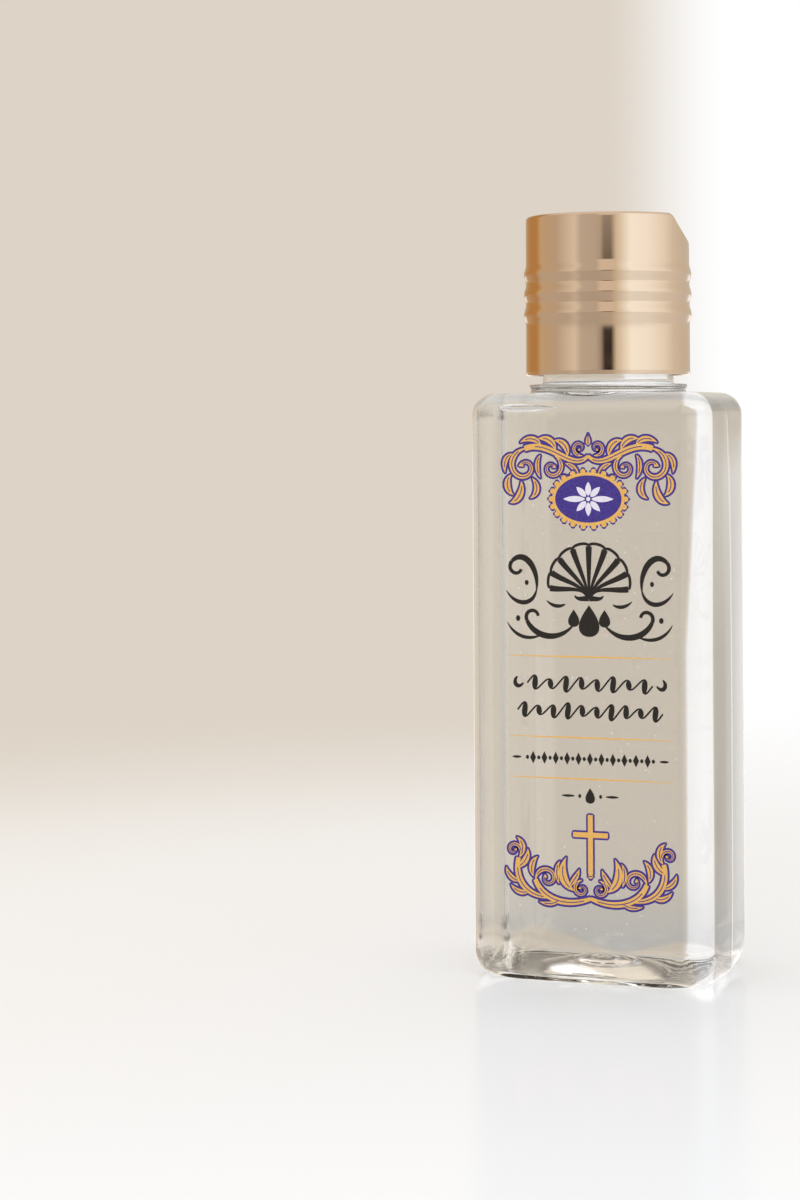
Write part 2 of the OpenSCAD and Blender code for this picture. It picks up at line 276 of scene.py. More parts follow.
def loft(bm, rings):
    """Draws one ring of points out into the next, and closes both ends."""
    ring = [bm.verts.new(p) for p in rings[0]]
    edges = [bm.edges.new((ring[i - 1], ring[i])) for i in range(len(ring))]
    bmesh.ops.contextual_create(bm, geom=edges)
    for points in rings[1:]:
        edges, ring = draw_out(bm, edges, ring)
        for vert, point in zip(ring, points):
            vert.co = point
    bmesh.ops.contextual_create(bm, geom=edges)
    bmesh.ops.recalc_face_normals(bm, faces=bm.faces)


def inner_rings(grow):
    """Inside of the bottle, from the middle of the floor up to the foot of the bore."""
    inset = WALL - grow
    low = FLOOR - grow
    rings = [hoop(r, dish_z(r, low)) for r in (0.5, 2, 4, 6, 8, 10, 12, 12.9)]
    rings += [hoop(13.9, low)]
    rings += [heel_ring(inset, low, a) for a in EDGE_ANGLES]
    top = CEILING + grow - SHOULDER + WALL
    rings += [wall_ring(inset, share, low, top) for share in WALL_SHARES]
    for angle in EDGE_ANGLES[1:]:
        round_in = (SHOULDER - WALL) * (1 - math.cos(angle))
        rings.append(body_ring(inset + round_in, top + (SHOULDER - WALL) * math.sin(angle)))
    rings += [hoop(12.7, CEILING + grow), hoop(11.6, CEILING + grow)]
    for out, up in ((0.5, 0.1), (0.15, 0.45), (0, 1.0)):
        rings.append(hoop(BORE + grow + out, CEILING + grow + up))
    return rings


def bottle_rings():
    """Outside of the bottle from the base up to the lip, then down its inside."""
    gate = [(0.5, 1.65), (1.2, 1.65), (1.5, 2.1), (4.9, dish_z(4.9))]
    groove = [(5.3, 1.62), (6.1, 1.55), (6.5, dish_z(6.5))]
    dish = [(r, dish_z(r)) for r in (8, 10, 11.5, 12.5)] + [(DISH_EDGE, 0.04), (DISH_EDGE + 0.5, 0)]
    rings = [hoop(r, z) for r, z in gate + groove + dish]
    rings += [heel_ring(0, 0, a) for a in EDGE_ANGLES]
    rings += [wall_ring(0, share, 0, SHOULDER_TOP - SHOULDER) for share in WALL_SHARES]
    rings += [shoulder_ring(share) for share in SHOULDER_SHARES]
    foot = [(15.85, 115.22), (15.6, 115.36), (15.52, 115.6), (15.5, 115.9), (15.6, 116.03)]
    ring = [(15.73, 116.11), (15.83, 116.27), (15.85, 116.46), (15.83, 116.66), (15.73, 116.82)]
    ring += [(15.56, 116.9), (13.85, 116.9)]
    collar = [(13.35, 116.99), (13.15, 117.18), (13.1, 117.45), (13.1, 120.1), (13.05, 120.36)]
    step = [(12.95, 120.46), (12.82, 120.5), (12.66, 120.56), (12.58, 120.7)]
    step += [(FINISH, 121), (FINISH, 124.2)]
    rings += [hoop(r, z) for r, z in foot + ring + collar + step]
    rings += [thread_hoop(124.4 + 0.22 * i) for i in range(41)]
    lip = [(FINISH, 133.8), (12.47, 134.07), (12.27, 134.3), (11.98, LIP), (11, LIP), (10.73, 134.3)]
    lip += [(10.6, 134.1), (BORE, 133.75), (BORE, 122.7)]
    rings += [hoop(r, z) for r, z in lip]
    return rings + inner_rings(0)[::-1]


def water_rings():
    """The fill, a hair into the wall so that no air shows between them, up to its curved top."""
    grow = 0.05
    top = [(BORE + grow, FILL), (BORE + grow, FILL + 0.9), (10.2, FILL + 0.45), (9.4, FILL + 0.12)]
    top += [(r, FILL) for r in (7.6, 3, 0.5)]
    return inner_rings(grow) + [hoop(r, z) for r, z in top]


def air_bell(bm, middle, size, taper=0.0):
    """A bubble left in the water, its faces turned to the air inside it."""
    made = bmesh.ops.create_uvsphere(bm, u_segments=20, v_segments=12, radius=1)["verts"]
    faces = {face for vert in made for face in vert.link_faces}
    for vert in made:
        x, y, z = vert.co
        slim = 1 - taper * x
        vert.co = Vector(middle) + Vector((x * size[0], y * size[1] * slim, z * size[2] * slim))
    bmesh.ops.reverse_faces(bm, faces=list(faces))


def notch_z(y):
    """Height of the finger notch's edge across the cap."""
    side = math.sqrt((NOTCH_R + NOTCH_ROUND) ** 2 - (NOTCH_R - NOTCH_DEPTH + NOTCH_ROUND) ** 2)
    tangent = side * NOTCH_R / (NOTCH_R + NOTCH_ROUND)
    if abs(y) >= side:
        return CAP_TOP
    if abs(y) > tangent:
        return CAP_TOP - NOTCH_ROUND + math.sqrt(NOTCH_ROUND**2 - (side - abs(y)) ** 2)
    return CAP_TOP + NOTCH_R - NOTCH_DEPTH - math.sqrt(NOTCH_R**2 - y**2)


def sleeve_radius(z):
    """Outside of the gold sleeve at a height, beads included."""
    radius = SLEEVE_LOW - SLEEVE_DRAFT * (z - CAP_LOW) / (CAP_TOP - CAP_LOW)
    for middle in BEADS:
        off = abs(z - middle) / BEAD_PITCH
        if off < 0.5:
            radius += BEAD_H * (0.5 + 0.5 * math.cos(math.tau * off))
    return radius


def spin_profile(bm, profile, steps, closed=True):
    """Turns an outline of (radius, height) pairs once round the axis."""
    verts = [bm.verts.new((r, 0, z)) for r, z in profile]
    edges = [bm.edges.new(pair) for pair in zip(verts, verts[1:])]
    if closed:
        edges.append(bm.edges.new((verts[-1], verts[0])))
    bmesh.ops.spin(
        bm, geom=verts + edges, cent=(0, 0, 0), axis=(0, 0, 1), angle=math.tau, steps=steps, use_merge=True)
    bmesh.ops.remove_doubles(bm, verts=bm.verts, dist=0.0005)
    bmesh.ops.recalc_face_normals(bm, faces=bm.faces)


def sleeve_shape():
    """Drawn metal sleeve with rolled beads, whose top edge dips into the finger notch."""
    rim_z = 144.3
    edge_r = 0.65
    low = [(SLEEVE_IN, 118.83), (SLEEVE_IN + 0.12, CAP_LOW), (16.3, CAP_LOW), (16.41, 118.74)]
    low += [(SLEEVE_LOW, 118.86)]
    wall = [(sleeve_radius(z), z) for z in (119.6, 122.6, 126, 128.7)]
    wall += [(sleeve_radius(129.3 + 0.3 * i), 129.3 + 0.3 * i) for i in range(41)]
    wall += [(sleeve_radius(z), z) for z in (142.2, rim_z, CAP_TOP - edge_r - 0.12)]
    side = sleeve_radius(CAP_TOP - edge_r)
    edge = []
    for angle in EDGE_ANGLES:
        edge.append((side - edge_r * (1 - math.cos(angle)), CAP_TOP - edge_r * (1 - math.sin(angle))))
    top = [(14.95, CAP_TOP), (14.33, CAP_TOP), (14.2, 150.49), (WELL, 150.37), (WELL, 150.17)]
    inside = [(14.21, 150.05), (15.45, 150.05)] + [(SLEEVE_IN, z) for z in (149.83, rim_z, 131.5, 120.4)]
    bm = bmesh.new()
    spin_profile(bm, low + wall + edge + top + inside, 240)
    for vert in bm.verts:
        if vert.co.x > 0 and vert.co.z > rim_z + 0.01:
            vert.co.z -= max(0, CAP_TOP - notch_z(vert.co.y) - 0.08)
    bmesh.ops.rotate(bm, verts=bm.verts, cent=(0, 0, 0), matrix=Matrix.Rotation(CAP_TURN, 3, "Z"))
    return bm


# Gold plate in the disc: pressed edge, and a top that dips towards the middle
INLAY = [(0, 149.85), (12.86, 149.85), (12.93, 149.92), (12.93, 150.04), (12.9, 150.12), (12.82, 150.18)]
INLAY += [(12.7, 150.2), (12.4, 150.19), (11.2, 150.14), (9, 150.09), (6, 150.05), (3, 150.03), (0, 150.02)]
# Long bubble under the shoulder: its middle, its half sizes and how much it thins along X
LONG_BELL = ((-12.2, -16.15, 112.0), (5.5, 0.62, 0.72), 0.3)
# Small bubbles under the shoulder and on the walls, each with its radius
AIR_BELLS = (
    (-18.6, -15.2, 110.4, 0.3), (-6.1, -15.9, 112.1, 0.22), (3.4, 13.2, 113.2, 0.35),
    (9.8, -11.4, 113.4, 0.28), (17.2, 12.6, 111.8, 0.3), (-20.9, 4.2, 98.0, 0.24),
    (21.8, -3.4, 90.5, 0.2), (-13.0, 16.6, 71.0, 0.22), (6.2, 16.6, 38.5, 0.2),
    (-20.6, -8.0, 45.0, 0.18), (12.4, 16.6, 84.0, 0.2), (-4.4, 16.6, 17.5, 0.24),
)


# Print on the label, as pen strokes: points across and up the film, each with its half width


def bend(a, b, c, d, widths, steps=14):
    """A curved stroke between two ends: points with half widths."""
    stroke = []
    for i in range(steps + 1):
        t = i / steps
        s = 1 - t
        shares = (s**3, 3 * s * s * t, 3 * s * t * t, t**3)
        spot = [sum(share * p for share, p in zip(shares, axis)) for axis in zip(a, b, c, d)]
        stroke.append((*spot, s * s * widths[0] + 2 * s * t * widths[1] + t * t * widths[2]))
    return stroke


def leaf(a, b, c, d, wide):
    """A pointed leaf that bends from its stem to its tip."""
    return bend(a, b, c, d, (0.12, 2 * wide, 0.05))


def volute(x, z, r, start, sweep, wide=0.2, inner=0.22, steps=30):
    """A spiral that winds in to a thick end."""
    stroke = []
    for i in range(steps + 1):
        t = i / steps
        angle = math.radians(start + sweep * t)
        reach = r * inner**t
        swell = min(1, 0.3 + 6 * t) * (1 - 0.65 * t) + 0.55 * max(0, t - 0.86) / 0.14
        stroke.append((x + reach * math.cos(angle), z + reach * math.sin(angle), r * wide * swell))
    return stroke


def drop(x, z, h, wide=0.36):
    """A drop that hangs from its point, which is given."""
    stroke = []
    for i in range(17):
        a = math.pi * i / 16
        half = 0.01 + wide * h * math.sin(a) * math.sin(a / 2) ** 1.2
        stroke.append((x, z - h * (0.5 - 0.5 * math.cos(a)), half))
    return stroke


def dot(x, z, r):
    """A round dot."""
    angles = [math.pi * i / 12 for i in range(13)]
    return [(x - r * math.cos(a), z, 0.005 + r * math.sin(a)) for a in angles]


def dash(x, z, half, wide):
    """A level line that thins towards both ends."""
    widths = (0.3 * wide, 1.7 * wide, 0.3 * wide)
    return bend((x - half, z), (x - half / 3, z), (x + half / 3, z), (x + half, z), widths)


def wave(z, half, high, count, wide):
    """A row of slanted pen waves, thick where the pen moves down."""
    stroke = []
    for i in range(count * 16 + 1):
        t = i / (count * 16)
        a = math.tau * count * t
        lift = high * (0.75 + 0.25 * math.cos(math.tau * 3 * t))
        x = half * (2 * t - 1) + 0.45 * lift * math.sin(a)
        stroke.append((x, z + lift * math.sin(a), wide * (0.3 + 0.7 * max(0, -math.cos(a)))))
    return stroke


def both_sides(strokes):
    """The strokes and their mirror images."""
    return strokes + [[(-x, z, w) for x, z, w in stroke] for stroke in strokes]


def raised(strokes, z):
    """The strokes, moved up the label."""
    return [[(x, up + z, w) for x, up, w in stroke] for stroke in strokes]


def widened(stroke, grow):
    """A stroke with a border added all round."""
    ends = []
    for tip, near in ((stroke[0], stroke[1]), (stroke[-1], stroke[-2])):
        way = (Vector(tip[:2]) - Vector(near[:2])).normalized() * grow
        ends.append([
            (tip[0] + way.x * reach, tip[1] + way.y * reach, (tip[2] + grow) * share)
            for reach, share in ((1, 0.1), (0.8, 0.62))])
    return ends[0] + [(x, z, w + grow) for x, z, w in stroke] + ends[1][::-1]


def print_strokes(bm, strokes, layer):
    """Draws strokes as flat strips of ink, each layer a hair in front of the last."""
    for order, stroke in enumerate(strokes):
        y = FILM_FRONT - INK_STEP * layer - STROKE_STEP * order
        edges = []
        for i, (x, z, wide) in enumerate(stroke):
            last, after = stroke[max(i - 1, 0)], stroke[min(i + 1, len(stroke) - 1)]
            side = Vector((last[1] - after[1], after[0] - last[0])).normalized() * wide
            spots = [(x + LABEL_MIDDLE + k * side.x, y, z + k * side.y) for k in (1, -1)]
            if not edges:
                pair = [bm.verts.new(spot) for spot in spots]
                edges = [bm.edges.new(pair)]
                continue
            edges, pair = draw_out(bm, edges, pair)
            for vert, spot in zip(pair, spots):
                vert.co = spot


def print_piece(name, material, layers):
    """One colour of the print, as thin closed films of ink."""
    bm = bmesh.new()
    for layer, strokes in layers:
        print_strokes(bm, strokes, layer)
    bm.normal_update()
    bmesh.ops.reverse_faces(bm, faces=[face for face in bm.faces if face.normal.y > 0])
    bmesh.ops.solidify(bm, geom=bm.faces, thickness=STROKE_STEP / 2)
    bmesh.ops.recalc_face_normals(bm, faces=bm.faces)
    finish_piece(bm, name, "bottle", material)


# Heights on the label, from the scrolls at the top to those at the bottom
TOP_SCROLLS_Z = 92.9
RULES_Z = (63.7, 48.0, 40.0)
WAVES_Z = (58.4, 53.1)
LOW_SCROLLS_Z = 16.3
# Scrolls over the medallion: arch, volutes, then leaves
TOP_SCROLLS = both_sides([
    bend((0.0, 9.9), (3.2, 6.4), (7.6, 13.4), (12.9, 11.3), (0.35, 0.75, 0.6), 22),
    volute(12.9, 7.7, 3.6, 90, -440, 0.17, 0.2, 40),
    volute(7.4, 7.5, 2.5, 105, 430, 0.19),
    volute(1.75, 11.5, 1.65, 250, 410, 0.24),
    leaf((4.2, 9.9), (4.0, 11.6), (5.2, 13.0), (6.9, 12.9), 0.62),
    leaf((6.6, 11.0), (6.9, 12.8), (8.4, 13.7), (10.2, 13.2), 0.62),
    leaf((9.6, 11.9), (10.2, 13.4), (12.2, 13.7), (13.8, 12.5), 0.55),
    leaf((15.4, 10.3), (16.9, 9.9), (17.3, 8.3), (16.9, 6.6), 0.5),
    leaf((15.7, 6.2), (17.0, 5.0), (16.6, 3.0), (15.2, 2.2), 0.62),
    leaf((13.6, 4.9), (13.2, 2.6), (14.4, 0.9), (16.0, 0.7), 0.66),
    leaf((11.3, 5.5), (9.9, 4.0), (10.3, 2.3), (11.8, 1.6), 0.55),
    leaf((9.7, 10.0), (10.6, 8.9), (10.5, 7.0), (9.7, 5.6), 0.42),
    leaf((5.6, 6.0), (4.3, 5.9), (3.4, 4.9), (3.4, 3.6), 0.45),
    leaf((4.6, 8.4), (3.2, 8.2), (2.2, 7.0), (2.0, 5.6), 0.45),
])
TOP_SCROLLS.append(drop(0, 14.2, 2.2, 0.3))
# Scrolls under the cross
LOW_SCROLLS = both_sides([
    volute(1.8, 2.3, 1.8, 90, -440, 0.23),
    bend((0.0, 0.6), (4.4, -1.3), (9.6, -0.4), (11.2, 3.8), (0.4, 0.8, 0.5), 20),
    volute(8.7, 4.1, 2.5, -10, 430, 0.19),
    bend((8.2, 0.5), (12.6, 0.2), (15.6, 3.2), (14.6, 7.9), (0.3, 0.85, 0.5), 20),
    volute(15.6, 9.4, 1.7, 215, -420, 0.24),
    leaf((12.4, 1.6), (13.6, 0.7), (15.2, 1.2), (16.2, 2.6), 0.5),
    leaf((14.3, 3.4), (15.6, 3.3), (16.9, 4.4), (17.1, 6.0), 0.5),
    leaf((14.9, 6.0), (13.6, 6.6), (12.5, 8.0), (12.7, 9.7), 0.62),
    leaf((14.4, 8.0), (13.4, 9.2), (13.5, 11.0), (14.9, 11.9), 0.55),
    leaf((11.6, 4.4), (12.3, 5.8), (11.9, 7.4), (10.7, 8.3), 0.55),
    leaf((3.4, 2.0), (5.6, 3.2), (6.4, 5.6), (4.9, 8.4), 0.85),
    leaf((4.4, 2.6), (3.6, 3.8), (2.6, 4.8), (2.3, 6.2), 0.5),
    leaf((6.4, 3.2), (7.0, 5.0), (7.0, 6.4), (6.2, 7.6), 0.42),
    leaf((6.2, 0.2), (7.2, -0.9), (8.8, -1.0), (10.4, -0.5), 0.4),
])
LOW_SCROLLS.append(dot(0, 4.9, 0.5))
CROSS = [
    bend((-3.5, 29.2), (-1, 29.2), (1, 29.2), (3.5, 29.2), (0.5, 0.5, 0.5), 4),
    bend((0, 21.6), (0, 25.4), (0, 29.3), (0, 33.1), (0.5, 0.5, 0.5), 4),
]
RULES = [dash(0, z, 16.4, 0.15) for z in RULES_Z]

# Medallion: its middle, its half width and its half height
MEDALLION_Z = 94.4
MEDALLION_W = 7.0
MEDALLION_H = 4.9


def oval(share, grow=0.0):
    """A point on the medallion's edge, at a share of the way round."""
    angle = math.tau * share
    return (MEDALLION_W + grow) * math.cos(angle), MEDALLION_Z + (MEDALLION_H + grow) * math.sin(angle)


RIM = [(*oval(i / 48), 0.3) for i in range(49)]
LOBES = [dot(*oval(i / 22, 0.5), 0.52) for i in range(22)]
GROUND = []
for i in range(25):
    angle = math.pi * i / 24
    GROUND.append((-MEDALLION_W * math.cos(angle), MEDALLION_Z, 0.01 + MEDALLION_H * math.sin(angle)))
ROSETTE = []
for i in range(8):
    way = (math.cos(math.tau * i / 8), math.sin(math.tau * i / 8))
    far = 5.0 if i % 4 == 0 else 3.3
    spots = [(reach * way[0], MEDALLION_Z + reach * way[1]) for reach in (0.7, 0.4 * far, 0.7 * far, far)]
    ROSETTE.append(leaf(*spots, 0.55))
ROSETTE.append(dot(0, MEDALLION_Z, 0.42))

# Scallop shell: its hinge, and the ribs to each side of the middle one
SHELL_Z = 75.6
SHELL_RIBS = 4


def shell_tip(rib):
    """The outer end of one of the shell's ribs."""
    turn = math.radians(90 - 20 * rib)
    reach = 9.6 - 0.1 * rib * rib
    return reach * math.cos(turn), SHELL_Z + reach * math.sin(turn)


SHELL = []
for i in range(-SHELL_RIBS, SHELL_RIBS + 1):
    tip = shell_tip(i)
    bow = (0.62 * tip[0] + 0.1 * i, 0.38 * SHELL_Z + 0.62 * tip[1])
    SHELL.append(bend((0.14 * i, SHELL_Z - 0.2), (0.3 * i, SHELL_Z + 2), bow, tip, (0.1, 0.34, 0.5), 12))
for i in range(-SHELL_RIBS, SHELL_RIBS):
    ends = (shell_tip(i), shell_tip(i + 1))
    over = [(1.09 * x, SHELL_Z + 1.11 * (z - SHELL_Z)) for x, z in ends]
    SHELL.append(bend(ends[0], over[0], over[1], ends[1], (0.2, 0.26, 0.2), 8))

# Black print: the shell with its curls and drops, pen waves, a row of lozenges and a last drop
LOZENGE_Z = 43.9
LOZENGE_PITCH = 2.3
LAST_Z = 36.7
INK = SHELL + both_sides([
    bend((0, 75.0), (1.2, 75.2), (2.2, 74.6), (2.9, 75.6), (0.4, 0.45, 0.1)),
    bend((10.6, 76.6), (10.0, 80.6), (13.0, 84.8), (15.6, 82.2), (0.12, 0.75, 0.3)),
    bend((15.6, 82.2), (17.0, 80.4), (14.4, 78.8), (13.7, 80.6), (0.3, 0.3, 0.25)),
    bend((10.6, 76.6), (11.4, 73.2), (15.0, 73.4), (16.8, 76.4), (0.12, 0.62, 0.05)),
    bend((2.9, 70.2), (6.0, 66.2), (11.0, 67.2), (12.6, 70.6), (0.08, 0.75, 0.3)),
    bend((12.6, 70.6), (13.4, 72.6), (10.6, 73.4), (10.3, 71.5), (0.3, 0.3, 0.25)),
    bend((9.6, 67.9), (12.2, 66.5), (15.2, 67.4), (16.6, 70.2), (0.08, 0.5, 0.05)),
    bend((8.6, 74.6), (7.4, 73.4), (6.0, 73.2), (4.8, 73.9), (0.05, 0.5, 0.1)),
    dot(14.4, 71.0, 0.45), dot(12.6, 78.0, 0.4),
    drop(3.1, 72.9, 3.4),
    bend((13.4, 58.4), (14.6, 56.8), (15.8, 58.6), (14.6, 59.6), (0.12, 0.55, 0.12)),
    dash(4.4, LAST_Z, 1.3, 0.2), dot(2.1, LAST_Z, 0.3), dash(14.8, LOZENGE_Z, 0.9, 0.2),
] + [dot(LOZENGE_PITCH * (i + 0.5), LOZENGE_Z, 0.32) for i in range(6)])
for i in range(-5, 6):
    x = LOZENGE_PITCH * i
    INK.append([(x - 0.6, LOZENGE_Z, 0.01), (x, LOZENGE_Z, 1.0), (x + 0.6, LOZENGE_Z, 0.01)])
INK += [drop(0, 73.8, 6.2), drop(0, 38.3, 3.0, 0.34)]
INK += [wave(WAVES_Z[0], 12.6, 1.6, 8, 0.46), wave(WAVES_Z[1], 14.6, 1.6, 10, 0.46)]


# Materials


def let_light_through(tree, glass, tint):
    """Gives a clear surface a shadow as light as its own tint."""
    path = add_node(tree, "LightPath")
    clear = add_node(tree, "BsdfTransparent", inputs={"Color": hex_colour(tint)})
    both = add_node(tree, "MixShader", inputs={
        0: path.outputs["Is Shadow Ray"], 1: glass.outputs[0], 2: clear.outputs[0]})
    add_node(tree, "OutputMaterial", inputs={"Surface": both.outputs[0]})


def clear_pet():
    """Blow-moulded PET: water-clear and glossy, with slow ripples where the wall froze unevenly."""
    material, tree = new_material("blow_moulded_PET")
    place = add_node(tree, "TexCoord")
    # Ripples about 14 mm long
    ripple = add_node(tree, "TexNoise", inputs={
        "Vector": place.outputs["Object"], "Scale": 70, "Detail": 1.5})
    bump = add_node(tree, "Bump", inputs={
        "Strength": 0.05, "Distance": 0.0004, "Height": ripple.outputs[0]})
    glass = add_node(tree, "BsdfPrincipled", inputs={
        "Base Color": hex_colour("#fffefd"), "Roughness": 0.0, "IOR": 1.575,
        "Transmission Weight": 1.0, "Normal": bump.outputs[0]})
    let_light_through(tree, glass, "#fafafa")
    return material


def still_water():
    """Still water: clear, with the faint cool tint of a few centimetres of it."""
    material, tree = new_material("still_water")
    glass = add_node(tree, "BsdfPrincipled", inputs={
        "Base Color": hex_colour("#fefefe"), "Roughness": 0.0, "IOR": 1.333, "Transmission Weight": 1.0})
    let_light_through(tree, glass, "#fcfdfd")
    return material


def clear_film():
    """Clear polypropylene label film: it hardly shows, apart from its gloss and tiny air bells under it."""
    material, tree = new_material("clear_label_film")
    place = add_node(tree, "TexCoord")
    # Bells up to 0.4 mm across, about one to every 50 mm2 of film
    bells = add_node(tree, "TexVoronoi", inputs={"Vector": place.outputs["Object"], "Scale": 450})
    cloud = add_node(tree, "MapRange", inputs={
        0: bells.outputs["Distance"], 1: 0.05, 2: 0.1, 3: 0.34, 4: 0.02})
    film = add_node(tree, "BsdfPrincipled", inputs={
        "Base Color": hex_colour("#f6f4ef"), "Roughness": 0.12, "Alpha": cloud.outputs[0]})
    add_node(tree, "OutputMaterial", inputs={"Surface": film.outputs[0]})
    return material


def printed_ink(name, colour, worn):
    """Flexographic ink: dense and satin, with a fine mottle where the plate pressed unevenly."""
    material, tree = new_material(name)
    place = add_node(tree, "TexCoord")
    # Mottle about 0.25 mm across
    mottle = add_node(tree, "TexNoise", inputs={
        "Vector": place.outputs["Object"], "Scale": 4000, "Detail": 3})
    thin = add_node(tree, "MapRange", inputs={0: mottle.outputs[0], 1: 0.42, 2: 0.72})
    tone = add_node(tree, "Mix", MIX, {
        0: thin.outputs[0], 6: hex_colour(colour), 7: hex_colour(worn)})
    ink = add_node(tree, "BsdfPrincipled", inputs={
        "Base Color": tone.outputs[2], "Roughness": 0.4, "Specular IOR Level": 0.2})
    add_node(tree, "OutputMaterial", inputs={"Surface": ink.outputs[0]})
    return material


def gold_aluminium():
    """Bright-dipped aluminium anodised pale gold: a mirror with a warm tint and a faint drawn haze."""
    material, tree = new_material("gold_anodised_aluminium")
    place = add_node(tree, "TexCoord")
    # Haze in patches of about 4 mm
    haze = add_node(tree, "TexNoise", inputs={
        "Vector": place.outputs["Object"], "Scale": 240, "Detail": 3})
    rough = add_node(tree, "MapRange", inputs={0: haze.outputs[0], 1: 0.3, 2: 0.7, 3: 0.04, 4: 0.08})
    metal = add_node(tree, "BsdfPrincipled", inputs={
        "Base Color": hex_colour("#d0b59b"), "Metallic": 1.0, "Roughness": rough.outputs[0]})
    add_node(tree, "OutputMaterial", inputs={"Surface": metal.outputs[0]})
    return material


def moulded_plastic(name, colour, roughness, metallic=0.0):
    """Injection-moulded polypropylene: satin, with a fine spark-eroded texture."""
    material, tree = new_material(name)
    place = add_node(tree, "TexCoord")
    # Grit drawn at 0.4 mm: the real one is finer, and wouldn't show
    grit = add_node(tree, "TexNoise", inputs={
        "Vector": place.outputs["Object"], "Scale": 2500, "Detail": 2})
    bump = add_node(tree, "Bump", inputs={"Strength": 0.08, "Distance": 0.0002, "Height": grit.outputs[0]})
    body = add_node(tree, "BsdfPrincipled", inputs={
        "Base Color": hex_colour(colour), "Roughness": roughness, "Metallic": metallic, "IOR": 1.49,
        "Normal": bump.outputs[0]})
    add_node(tree, "OutputMaterial", inputs={"Surface": body.outputs[0]})
    return material


GOLD = gold_aluminium()
NODE_FINISHES = {
    "front_label": clear_film(),
    "neck_gasket": moulded_plastic("foamed_polyethylene", "#ecebe4", 0.8),
    "cap_body": moulded_plastic("ivory_polypropylene", "#efe9dc", 0.42),
    "disc": moulded_plastic("gold_polypropylene", "#cfa878", 0.3, 0.6),
}
for name, finish in NODE_FINISHES.items():
    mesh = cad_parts[name].data
    mesh.materials.clear()
    mesh.materials.append(finish)

# Pieces

bm = bmesh.new()
loft(bm, bottle_rings())
finish_piece(bm, "bottle_shell", "bottle", clear_pet(), ("bottle",), sharp=60)

bm = bmesh.new()
loft(bm, water_rings())
air_bell(bm, *LONG_BELL)
for x, y, z, r in AIR_BELLS:
    air_bell(bm, (x, y, z), (r, r, r))
finish_piece(bm, "water_fill", "bottle", still_water(), ("water",), sharp=60)

finish_piece(sleeve_shape(), "gold_sleeve", "cap", GOLD, ("cap_sleeve",))

bm = bmesh.new()
spin_profile(bm, INLAY, 120, closed=False)
finish_piece(bm, "gold_inlay", "disc", GOLD, ("disc_inlay",), sharp=50)

# Half width of a vein, border round a stroke, what the gold is slimmed by, and how bold the black is
VEIN = 0.09
BORDER = 0.36
SLIM = 0.06
BOLD = 1.25
SCROLLS = raised(TOP_SCROLLS, TOP_SCROLLS_Z) + raised(LOW_SCROLLS, LOW_SCROLLS_Z)
VEINS = [[(x, z, VEIN) for x, z, _ in stroke[2:-3]] for stroke in SCROLLS]
FILLS = [[(x, z, max(0.02, w - SLIM)) for x, z, w in stroke] for stroke in SCROLLS]
BLACKS = [[(x, z, BOLD * w) for x, z, w in stroke] for stroke in INK]
print_piece("label_print_purple", printed_ink("purple_printing_ink", "#413183", "#57489a"), [
    (1, [widened(stroke, BORDER) for stroke in SCROLLS + CROSS]), (3, VEINS),
    (4, [widened(stroke, BORDER) for stroke in LOBES]), (6, [GROUND])])
print_piece("label_print_gold", printed_ink("gold_printing_ink", "#e8b056", "#f1c67c"), [
    (2, FILLS + CROSS + RULES), (5, LOBES), (7, [RIM])])
print_piece("label_print_pale", printed_ink("pale_printing_ink", "#efe9f4", "#e2d9ea"), [(7, ROSETTE)])
print_piece("label_print_ink", printed_ink("black_printing_ink", "#26211d", "#342e29"), [(2, BLACKS)])

# Floor, light and camera

bm = bmesh.new()
bmesh.ops.create_circle(bm, cap_ends=True, segments=96, radius=1.5)
mesh = bpy.data.meshes.new("floor")
bm.to_mesh(mesh)
bm.free()
floor = bpy.data.objects.new("floor", mesh)
bpy.context.collection.objects.link(floor)

material, tree = new_material("pale_floor")
place = add_node(tree, "TexCoord")
far = add_node(tree, "VectorMath", {"operation": "LENGTH"}, {0: place.outputs["Object"]})
fade = add_node(tree, "MapRange", SMOOTH, {0: far.outputs["Value"], 1: 0.08, 2: 0.5})
sheet = add_node(tree, "BsdfPrincipled", inputs={
    "Base Color": hex_colour("#f9fafc"), "Roughness": 0.18, "Specular IOR Level": 0.3})
clear = add_node(tree, "BsdfTransparent")
# Mirrored and bent rays pass the floor and meet the world's own lights
path = add_node(tree, "LightPath")
gone = add_node(tree, "Math", {"operation": "MAXIMUM"}, {
    0: fade.outputs[0], 1: path.outputs["Is Glossy Ray"]})
both = add_node(tree, "MixShader", inputs={0: gone.outputs[0], 1: sheet.outputs[0], 2: clear.outputs[0]})
add_node(tree, "OutputMaterial", inputs={"Surface": both.outputs[0]})
floor.data.materials.append(material)

PAPER = hex_colour("#ddd3c6")
WHITE = hex_colour("#ffffff")
ROOF = (0.52, 0.51, 0.5, 1)

# Turn from the camera's side in degrees, and the light that comes from there
LIGHTS = (
    (-180, (0.62, 0.54, 0.44)), (-165, (0.6, 0.46, 0.28)), (-142, (0.62, 0.36, 0.14)),
    (-119, (0.68, 0.38, 0.13)), (-108, (0.8, 0.66, 0.46)), (-77, (0.74, 0.66, 0.56)),
    (-47, (1.05, 1.03, 1.0)), (-37, (0.76, 0.74, 0.7)), (-17, (0.72, 0.7, 0.66)),
    (-10, (0.52, 0.49, 0.46)), (-4.5, (0.06, 0.05, 0.05)), (5, (0.05, 0.04, 0.04)),
    (12, (0.95, 0.92, 0.8)), (33, (1.46, 1.65, 1.78)), (59, (1.4, 1.56, 1.68)),
    (87, (1.2, 1.27, 1.29)), (105, (0.98, 1.0, 0.97)), (127, (0.87, 0.85, 0.78)),
    (180, (0.62, 0.55, 0.45)),
)
